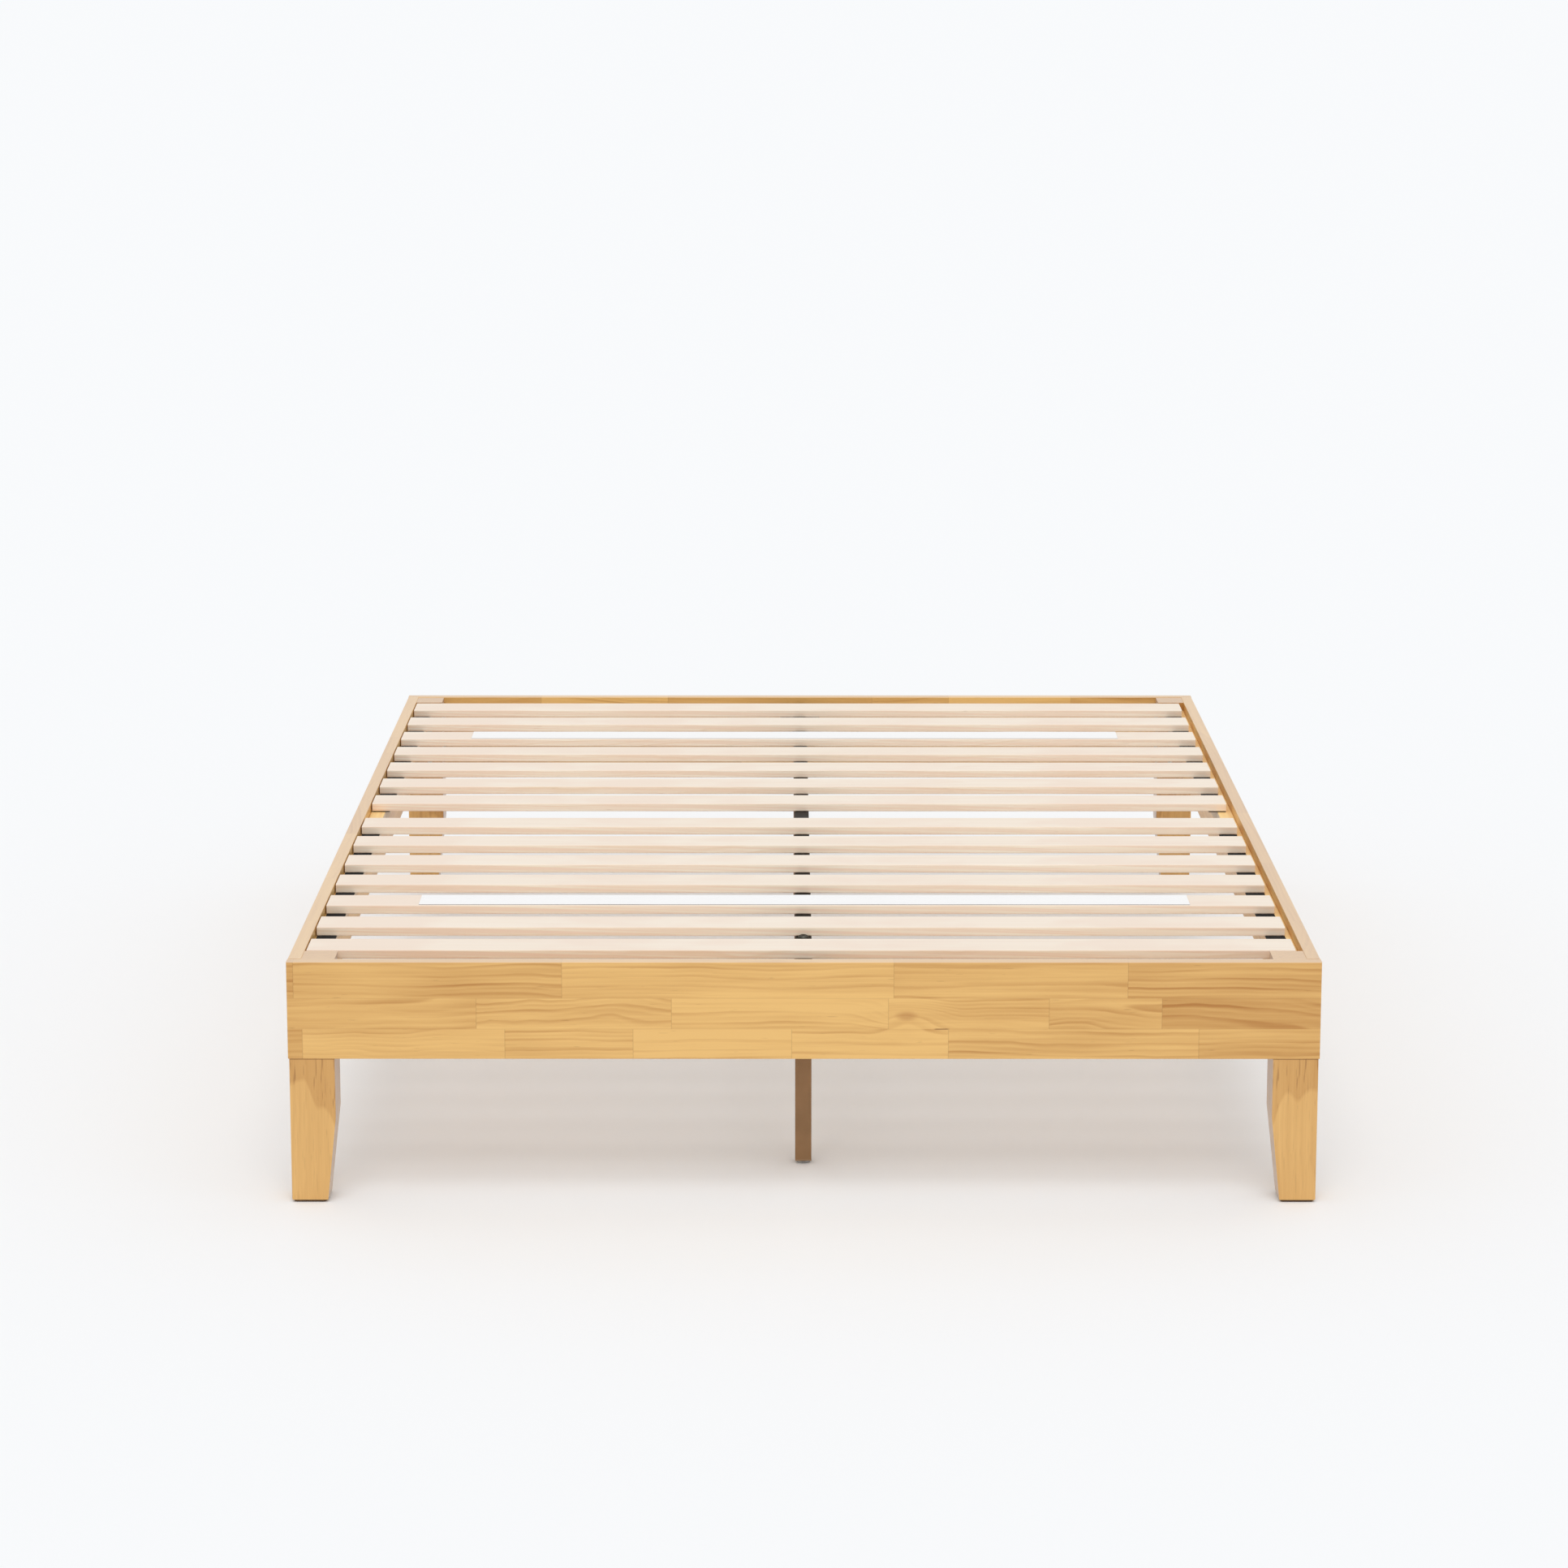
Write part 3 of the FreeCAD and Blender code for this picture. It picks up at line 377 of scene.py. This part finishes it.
def leg_pine(name, leg, heart, tone, inward):
    material, tree, shader = new_material(name, **VARNISH)
    low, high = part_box(leg)
    to_middle = (-(low[0] + high[0]) / 2, -(low[1] + high[1]) / 2, 0)
    centred = add_node(tree, "Mapping", {"Vector": where(tree), "Location": to_middle}).outputs[0]
    across, behind, height = split(tree, centred)
    in_wood = join(tree, height, across, behind)
    border = calc(tree, "SUBTRACT", noise(tree, centred, (24, 24, 6), 1.0), 0.5)
    border = calc(tree, "MULTIPLY", border, BORDER_STRAYS)
    # The heart wood reaches further down on the inner side.
    border = calc(tree, "ADD", border, calc(tree, "MULTIPLY", across, BORDER_LEANS * inward))
    heart_wood = span(tree, calc(tree, "ADD", height, border), *BORDER)
    tone = calc(tree, "MULTIPLY_ADD", heart_wood, HEART_WOOD_TONE, tone)
    colour = grow_pine(tree, shader, in_wood, join(tree, *heart), tone, 0.25, LEG_PALE, LEG_DARK,
                       ring=0.0075, lines=0.26, clouds=0.40)
    fleck = span(tree, noise(tree, centred, (400, 400, 34), 0.0), 0.66, 0.80, 0.0, 0.42)
    fleck = calc(tree, "MULTIPLY", fleck, calc(tree, "MULTIPLY_ADD", heart_wood, 0.7, 0.3))
    colour = mix_colours(tree, fleck, colour, FLECK)
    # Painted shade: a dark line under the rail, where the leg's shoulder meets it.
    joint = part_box("foot_rail")[0][2] - SHOULDER_LINE
    shadow = calc(tree, "MULTIPLY", seam(tree, height, [joint], 2 * SHOULDER_LINE), SHOULDER_SHOWS)
    colour = mix_colours(tree, shadow, colour, GLUE_AND_SHADOW)
    # Painted sheen: the faces that look up are paler, for the varnish's reflection.
    colour = wash(tree, colour, UP, PAINTED_TOP_SHEEN, TOP_SHEEN_SHOWS)
    # Greyer and paler on the faces that look inward.
    colour = wash(tree, colour, (inward, 0, 0), INWARD_GREY, INWARD_GREY_SHOWS)
    set_colour(tree, shader, colour)
    return material


# Painted shade: the two legs at the head are darker, for the shade under the bed.
HEAD_LEG_SHADE = 0.30
leg_draw = random.Random(5)
for end in ENDS:
    for side, inward in zip(SIDES, (1, -1)):
        leg = f"{end}_{side}_leg"
        heart = (leg_draw.uniform(0.1, 0.9), leg_draw.uniform(0.3, 0.9), leg_draw.uniform(0.35, 0.65))
        tone = leg_draw.uniform(0.34, 0.44) + HEAD_LEG_SHADE * (end == "head")
        coat_with(leg_pine(f"{leg} pine", leg, heart, tone, inward), leg)


# ---------------------------------------------------------------------------------------------
# Slats and ledgers: planed pine. The slats are left bare and pale, with eased edges; the ledgers
# have a thin coat of the rails' varnish.

SLAT_PALE = rgb(253, 240, 221)
SLAT_DARK = rgb(235, 206, 173)
SLAT_TOP_SHEEN = rgb(242, 231, 219)
SLAT_BLUSH = rgb(242, 212, 188)
SLAT_SHEEN_SHOWS = 0.58


def slat_pine():
    """One finish for all the slats: each draws its own heart from its place along the bed."""
    material, tree, shader = new_material("slat pine", roughness=0.55, specular=0.35)
    along, across, height = split(tree, where(tree))
    low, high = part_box("slat_01")
    first = (low[1] + high[1]) / 2
    pitch = sum(corner[1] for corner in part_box("slat_02")) / 2 - first
    # Counting from a little before each slat's middle keeps every slat in a step of its own,
    # on both sides of the wide gap in the middle of the bed.
    steps = calc(tree, "MULTIPLY_ADD", across, 1 / pitch, 0.4 - first / pitch)
    number = calc(tree, "FLOOR", steps)
    in_slat = calc(tree, "SUBTRACT", calc(tree, "SUBTRACT", steps, number), 0.5)
    in_slat = calc(tree, "MULTIPLY", in_slat, pitch)
    depth = calc(tree, "SUBTRACT", height, (low[2] + high[2]) / 2)
    local = join(tree, along, in_slat, depth)
    draw = add_node(tree, "TexWhiteNoise", {"W": number}, noise_dimensions="1D")
    tone = calc(tree, "MULTIPLY_ADD", draw.outputs["Value"], 0.16, 0.34)
    colour = grow_pine(tree, shader, local, draw.outputs["Color"], tone, 0.12, SLAT_PALE, SLAT_DARK,
                       ring=0.0042, lines=0.48, clouds=0.34)
    # Long slow bands, now pinker and now creamier, cross the slat's edges at a slant.
    slant = calc(tree, "MULTIPLY_ADD", along, 0.030, depth)
    slow = join(tree, along, in_slat, slant)
    blush = span(tree, noise(tree, slow, (2.5, 12, 260), 2.0), 0.42, 0.60, 0.0, 0.65)
    colour = mix_colours(tree, blush, colour, SLAT_BLUSH)
    # Painted sheen: the top is paler, and shows less figure than the edges.
    colour = wash(tree, colour, UP, SLAT_TOP_SHEEN, SLAT_SHEEN_SHOWS)
    set_colour(tree, shader, colour)
    return material


slat_names = [name for name in nodes if name.startswith("slat_")]
coat_with(slat_pine(), *slat_names)


LEDGER_PALE = rgb(255, 220, 154)
LEDGER_DARK = rgb(240, 184, 114)


def ledger_pine(name, ledger, inward):
    material, tree, shader = new_material(name, roughness=0.5, specular=0.35)
    low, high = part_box(ledger)
    across, along, height = split(tree, where(tree))
    in_wood = join(tree, along, calc(tree, "SUBTRACT", height, (low[2] + high[2]) / 2),
                   calc(tree, "SUBTRACT", across, (low[0] + high[0]) / 2))
    heart = join(tree, 0.85, 0.5, 0.55)
    colour = grow_pine(tree, shader, in_wood, heart, 0.30, 0.1, LEDGER_PALE, LEDGER_DARK)
    # Greyer and paler on the face that looks inward.
    colour = wash(tree, colour, (inward, 0, 0), INWARD_GREY, INWARD_GREY_SHOWS)
    set_colour(tree, shader, colour)
    return material


for side, inward in zip(SIDES, (1, -1)):
    coat_with(ledger_pine(f"{side} ledger pine", f"{side}_ledger", inward), f"{side}_ledger")


# ---------------------------------------------------------------------------------------------
# Centre beam, its two hangers and the centre legs: steel tube and folded steel plate with a
# powder coat, black above and brown on the legs, which leaves a faint orange-peel surface.

def powder_coat(name, colour, roughness, specular):
    material, tree, shader = new_material(name, roughness=roughness, specular=specular)
    place = where(tree)
    peel = noise(tree, place, (900, 900, 900), 1.0)
    dust = noise(tree, place, (30, 30, 30), 2.0)
    lighter = [min(1.0, c * 1.16 + 0.003) for c in colour[:3]] + [1.0]
    set_colour(tree, shader, mix_colours(tree, span(tree, dust, 0.35, 0.7), colour, lighter))
    set_relief(tree, shader, peel, 0.25, 0.0002)
    return material


PLACES = ("foot", "middle", "head")
coat_with(powder_coat("black powder coat", rgb(25, 23, 22), 0.50, 0.15),
          "centre_beam", "foot_beam_bracket", "head_beam_bracket")
coat_with(powder_coat("brown powder coat", rgb(142, 107, 71), 0.45, 0.35),
          *[f"{place}_centre_leg" for place in PLACES])


# ---------------------------------------------------------------------------------------------
# Plastic inserts in the centre legs, the levelling feet, and the bolts, washers, screws and
# staples: moulded plastic, zinc-plated steel and galvanised wire, with turned brass for the
# threaded inserts in the rails.

def moulded_plastic(name, colour):
    material, tree, shader = new_material(name, roughness=0.55, specular=0.4)
    place = where(tree)
    grain = noise(tree, place, (1400, 1400, 1400), 1.0)
    set_colour(tree, shader, mix_colours(tree, span(tree, grain, 0.4, 0.7), colour, darker(colour, 0.8)))
    set_relief(tree, shader, grain, 0.3, 0.0001)
    return material


def plated_steel(name, colour, roughness):
    material, tree, shader = new_material(name, roughness=roughness, metallic=1.0)
    place = where(tree)
    cloud = noise(tree, place, (160, 160, 160), 3.0)
    mottled = mix_colours(tree, span(tree, cloud, 0.35, 0.65), colour, darker(colour, 0.72))
    set_colour(tree, shader, mottled)
    dull = span(tree, cloud, 0.3, 0.7, roughness, roughness + 0.15)
    tree.links.new(dull, shader.inputs["Roughness"])
    return material


coat_with(moulded_plastic("brown insert plastic", rgb(163, 130, 98)),
          *[f"{place}_leg_{end}_insert" for place in PLACES for end in ("upper", "lower")])
coat_with(plated_steel("dull zinc", rgb(176, 174, 170), 0.42),
          *[f"{place}_levelling_foot" for place in PLACES])
coat_with(plated_steel("bright zinc", rgb(196, 196, 192), 0.30),
          "corner_bolts", "corner_washers", "ledger_screws", "bracket_screws")
coat_with(plated_steel("black zinc", rgb(92, 90, 84), 0.38), "centre_leg_bolts")
coat_with(plated_steel("galvanised wire", rgb(188, 190, 192), 0.35),
          "foot_pack_staples", "head_pack_staples")
coat_with(plated_steel("turned brass", rgb(214, 184, 112), 0.30), "rail_inserts")


# ---------------------------------------------------------------------------------------------
# Dowels: plain beech pins, glued into the ends of the side rails and let into the end rails, so
# that the joints line up before the corner bolts are pulled tight.

def beech():
    material, tree, shader = new_material("dowel beech", roughness=0.6, specular=0.3)
    place = where(tree)
    fibre = noise(tree, place, (900, 40, 900), 2.0)
    set_colour(tree, shader, mix_colours(tree, fibre, rgb(214, 176, 130), rgb(182, 140, 96)))
    return material


coat_with(beech(), "rail_dowels")


# ---------------------------------------------------------------------------------------------
# Straps: black polyester webbing, woven with a firm edge and cut with a hot knife. Each is
# stapled to the undersides of the seven slats of its pack, and lies on the ledger.

def keep_mesh(name, shape, material, smooth=True):
    """Turn a finished shape into a piece at the origin, with its faces outward."""
    bmesh.ops.recalc_face_normals(shape, faces=shape.faces)
    mesh = bpy.data.meshes.new(name)
    shape.to_mesh(mesh)
    shape.free()
    mesh.materials.append(material)
    if smooth:
        mesh.shade_smooth()
    piece = bpy.data.objects.new(name, mesh)
    bpy.context.collection.objects.link(piece)
    return piece


def fill_box(low, high):
    """A plain block that fills a box."""
    shape = bmesh.new()
    bmesh.ops.create_cube(shape, size=1.0)
    bmesh.ops.scale(shape, vec=[b - a for a, b in zip(low, high)], verts=shape.verts)
    bmesh.ops.translate(shape, vec=[(a + b) / 2 for a, b in zip(low, high)], verts=shape.verts)
    return shape


def round_edges(shape, edges, radius, segments):
    bmesh.ops.bevel(shape, geom=edges, offset=radius, offset_type="OFFSET", segments=segments,
                    profile=0.5, affect="EDGES", material=-1)


def cut_cells(shape, low, high, cells):
    """Cut a block across into cells[0] by cells[1] cells."""
    for axis in (0, 1):
        across = [float(axis == 0), float(axis == 1), 0.0]
        for cut in range(1, cells[axis]):
            middle = [0.0, 0.0, 0.0]
            middle[axis] = low[axis] + cut * (high[axis] - low[axis]) / cells[axis]
            bmesh.ops.bisect_plane(shape, geom=shape.verts[:] + shape.edges[:] + shape.faces[:],
                                   plane_co=middle, plane_no=across, dist=1e-6)


def rounded_slab(low, high, cells, edge_radius):
    """A slab that fills a box, cut into cells, with all its edges rounded."""
    shape = fill_box(low, high)
    round_edges(shape, shape.edges[:], edge_radius, 2)
    cut_cells(shape, low, high, cells)
    return shape


WARP_PITCH = 0.0016
WEFT_PITCH = 0.0011


def woven_webbing():
    material, tree, shader = new_material("black webbing", roughness=0.85, specular=0.10)
    shader.inputs["Sheen Weight"].default_value = 0.08
    place = where(tree)
    across, along, _ = split(tree, place)
    warp = calc(tree, "SINE", calc(tree, "MULTIPLY", across, 2 * math.pi / WARP_PITCH))
    # Neighbouring warp yarns pass over and under the weft in turn.
    step = calc(tree, "FLOOR", calc(tree, "MULTIPLY", across, 2 / WARP_PITCH))
    step = calc(tree, "MULTIPLY", step, math.pi)
    weft = calc(tree, "SINE", calc(tree, "MULTIPLY_ADD", along, 2 * math.pi / WEFT_PITCH, step))
    relief = calc(tree, "MULTIPLY", calc(tree, "ADD", calc(tree, "ABSOLUTE", warp), weft), 0.5)
    worn = span(tree, noise(tree, place, (60, 25, 60), 2.0), 0.4, 0.7)
    yarn = mix_colours(tree, worn, rgb(20, 19, 20), rgb(34, 33, 34))
    # Painted shade: darker down between the yarns, where the weave is low.
    colour = mix_colours(tree, span(tree, relief, -0.2, 0.8), rgb(8, 8, 9), yarn)
    set_colour(tree, shader, colour)
    set_relief(tree, shader, relief, 0.6, 0.0003)
    return material


STRAP_CELLS = (10, 220)
STRAP_EDGE = 0.00035
STAPLE_DENT = 0.0005
DENT_REACH = 0.010
STAPLE_SPREAD = 0.030
EDGE_WANDER = 0.0004
WANDER_RATE = 61.0
FREE_RUN = 0.06
webbing = woven_webbing()
slat_lines = {end: [] for end in ENDS}
for name in slat_names:
    low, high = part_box(name)
    slat_lines["foot" if high[1] < 0 else "head"].append((low[1] + high[1]) / 2)
for end in ENDS:
    staple_rows = [line + shift for line in slat_lines[end]
                   for shift in (-STAPLE_SPREAD / 2, STAPLE_SPREAD / 2)]
    for side in SIDES:
        node = f"{end}_{side}_strap"
        low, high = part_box(node)
        shape = rounded_slab(low, high, STRAP_CELLS, STRAP_EDGE)
        middle = (low[0] + high[0]) / 2
        for vert in shape.verts:
            gap = min(abs(vert.co.y - row) for row in staple_rows)
            pressed = max(0.0, 1 - gap / DENT_REACH)
            pressed *= max(0.0, 1 - abs(vert.co.x - middle) / DENT_REACH)
            if vert.co.z < (low[2] + high[2]) / 2:
                vert.co.z += STAPLE_DENT * pressed ** 0.5
            # The edge wanders a little where the webbing is free between two slats.
            free = min(abs(vert.co.y - line) for line in slat_lines[end])
            vert.co.x += EDGE_WANDER * math.sin(vert.co.y * WANDER_RATE) * min(1.0, free / FREE_RUN)
        strap = keep_mesh(f"{node}_webbing", shape, webbing)
        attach(strap, f"{end}_slat_pack")
        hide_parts(node)


# ---------------------------------------------------------------------------------------------
# Grip tapes: a strip of double-sided tape on the third slat from each end, which holds the
# mattress. Its white paper liner is still on, and is left plain.

THREAD_PITCH = 0.001496


def tape_backing():
    material, tree, shader = new_material("tape cloth", roughness=0.65, specular=0.35)
    place = where(tree)
    across, along, _ = split(tree, place)
    rows = [calc(tree, "SINE", calc(tree, "MULTIPLY", way, 2 * math.pi / THREAD_PITCH))
            for way in (across, along)]
    threads = calc(tree, "MAXIMUM", *rows)
    # Painted shade: darker between the threads, where the cloth is low.
    colour = mix_colours(tree, span(tree, threads, 0.0, 1.0), rgb(132, 133, 135), rgb(176, 177, 178))
    set_colour(tree, shader, colour)
    set_relief(tree, shader, threads, 0.3, 0.0001)
    return material


def liner_paper():
    material, tree, shader = new_material("liner paper", roughness=0.34, specular=0.5)
    place = where(tree)
    pulp = noise(tree, place, (240, 240, 240), 3.0)
    colour = mix_colours(tree, span(tree, pulp, 0.3, 0.7), rgb(252, 252, 252), rgb(249, 249, 249))
    set_colour(tree, shader, colour)
    slack = noise(tree, place, (14, 30, 30), 1.0)
    set_relief(tree, shader, slack, 0.3, 0.001)
    return material


STRIP_CELLS = (160, 8)
TAPE_EDGE = 0.00012
LIFT = 0.00015
# The rise and fall of the strips: short waves at a slant and a long one along them.
SHORT_ALONG, SHORT_ACROSS, LONG_ALONG, LONG_START = 23.0, 40.0, 9.0, 1.3
tape_finish, liner_finish = tape_backing(), liner_paper()
for end in ENDS:
    for node, made_of, slot in ((f"{end}_grip_tape", tape_finish, "grip_tape"),
                                (f"{end}_tape_liner", liner_finish, "liner_paper")):
        low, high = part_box(node)
        shape = rounded_slab(low, high, STRIP_CELLS, TAPE_EDGE)
        for vert in shape.verts:
            # Rubbed down by hand, the strip rises a hair here and there; its underside stays put.
            if vert.co.z > low[2] + TAPE_EDGE or slot == "liner_paper":
                swell = math.sin(vert.co.x * SHORT_ALONG + vert.co.y * SHORT_ACROSS)
                swell *= math.sin(vert.co.x * LONG_ALONG + LONG_START)
                vert.co.z += LIFT * max(0.0, swell)
        strip = keep_mesh(f"{node}_strip", shape, made_of, smooth=False)
        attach(strip, f"{end}_slat_pack")
        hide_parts(node)


# ---------------------------------------------------------------------------------------------
# Felt pads: needled wool felt, cut square with rounded corners and glued under the corner legs.

def needled_felt():
    material, tree, shader = new_material("dark felt", roughness=0.95, specular=0.1)
    shader.inputs["Sheen Weight"].default_value = 0.5
    place = where(tree)
    tangle = noise(tree, place, (900, 900, 1800), 4.0, 0.7)
    patch = noise(tree, place, (70, 70, 70), 2.0)
    wool = mix_colours(tree, span(tree, tangle, 0.35, 0.65), rgb(78, 58, 45), rgb(122, 96, 76))
    worn = span(tree, patch, 0.3, 0.7, 0.0, 0.35)
    set_colour(tree, shader, mix_colours(tree, worn, wool, rgb(66, 50, 40)))
    set_relief(tree, shader, tangle, 0.8, 0.0008)
    return material


def rise(edge):
    """How much higher one end of an edge is than the other."""
    return abs(edge.verts[0].co.z - edge.verts[1].co.z)


PAD_CELLS = (24, 24)
PAD_CORNER = 0.005
PAD_EDGE = 0.0008
FLUFF = 0.00035
felt = needled_felt()
fluff_draw = random.Random(19)
for end in ENDS:
    for side in SIDES:
        node = f"{end}_{side}_felt_pad"
        low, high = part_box(node)
        shape = fill_box(low, high)
        corners = [edge for edge in shape.edges if rise(edge) > 1e-5]
        round_edges(shape, corners, PAD_CORNER, 6)
        rims = [edge for edge in shape.edges if rise(edge) < 1e-6]
        round_edges(shape, rims, PAD_EDGE, 3)
        cut_cells(shape, low, high, PAD_CELLS)
        shape.normal_update()
        for vert in shape.verts:
            # Only the sides are fluffy: the faces are pressed flat by the leg and the floor.
            if low[2] + PAD_EDGE / 2 < vert.co.z < high[2] - PAD_EDGE / 2:
                vert.co += vert.normal * fluff_draw.uniform(-FLUFF, FLUFF)
        pad = keep_mesh(f"{node}_wool", shape, felt)
        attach(pad, "frame")
        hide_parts(node)


# ---------------------------------------------------------------------------------------------
# Floor, light and camera: a pale floor under soft light from above and in front, seen from the
# foot of the bed, a little to the left of its middle and well above it.

FLOOR_HALF = 150.0
FLOOR_PAINT = (0.931, 0.944, 0.960, 1.0)
floor_mesh = bpy.data.meshes.new("floor")
floor_shape = bmesh.new()
bmesh.ops.create_grid(floor_shape, x_segments=1, y_segments=1, size=FLOOR_HALF)
floor_shape.to_mesh(floor_mesh)
floor_shape.free()
floor = bpy.data.objects.new("floor", floor_mesh)
bpy.context.collection.objects.link(floor)
floor_paint, _, floor_shader = new_material("floor", roughness=1.0, specular=0.0)
floor_shader.inputs["Base Color"].default_value = FLOOR_PAINT
floor_mesh.materials.append(floor_paint)

ROOM_LIGHT = 0.79
world = bpy.data.worlds.new("studio")
bpy.context.scene.world = world
world.use_nodes = True
background = world.node_tree.nodes["Background"]
background.inputs["Color"].default_value = (1.0, 1.0, 1.0, 1.0)
background.inputs["Strength"].default_value = ROOM_LIGHT

# A broad soft light stands high over the foot of the bed, far enough off to light all of it alike.
KEY_POWER = 0.85
KEY_SPREAD = 38
KEY_SHINES = (0.1, 5.0, -7.5)
key = bpy.data.lights.new("key", "SUN")
key.energy = KEY_POWER
key.angle = math.radians(KEY_SPREAD)
key_holder = bpy.data.objects.new("key", key)
key_holder.rotation_euler = Vector(KEY_SHINES).to_track_quat("-Z", "Y").to_euler()
bpy.context.collection.objects.link(key_holder)

EYE = (-0.0249, -6.8976, 1.9434)
LOOKS_DOWN = 10.306
LOOKS_LEFT = 0.044
SENSOR = 36.0
LENS = 94.48
FRAME_SHIFT = -0.1
camera_data = bpy.data.cameras.new("camera")
camera_data.sensor_width = SENSOR
camera_data.lens = LENS
camera_data.shift_y = FRAME_SHIFT
camera = bpy.data.objects.new("camera", camera_data)
camera.location = EYE
camera.rotation_euler = (math.radians(90 - LOOKS_DOWN), 0.0, math.radians(LOOKS_LEFT))
bpy.context.collection.objects.link(camera)
bpy.context.scene.camera = camera
bpy.context.scene.view_settings.view_transform = "Standard"
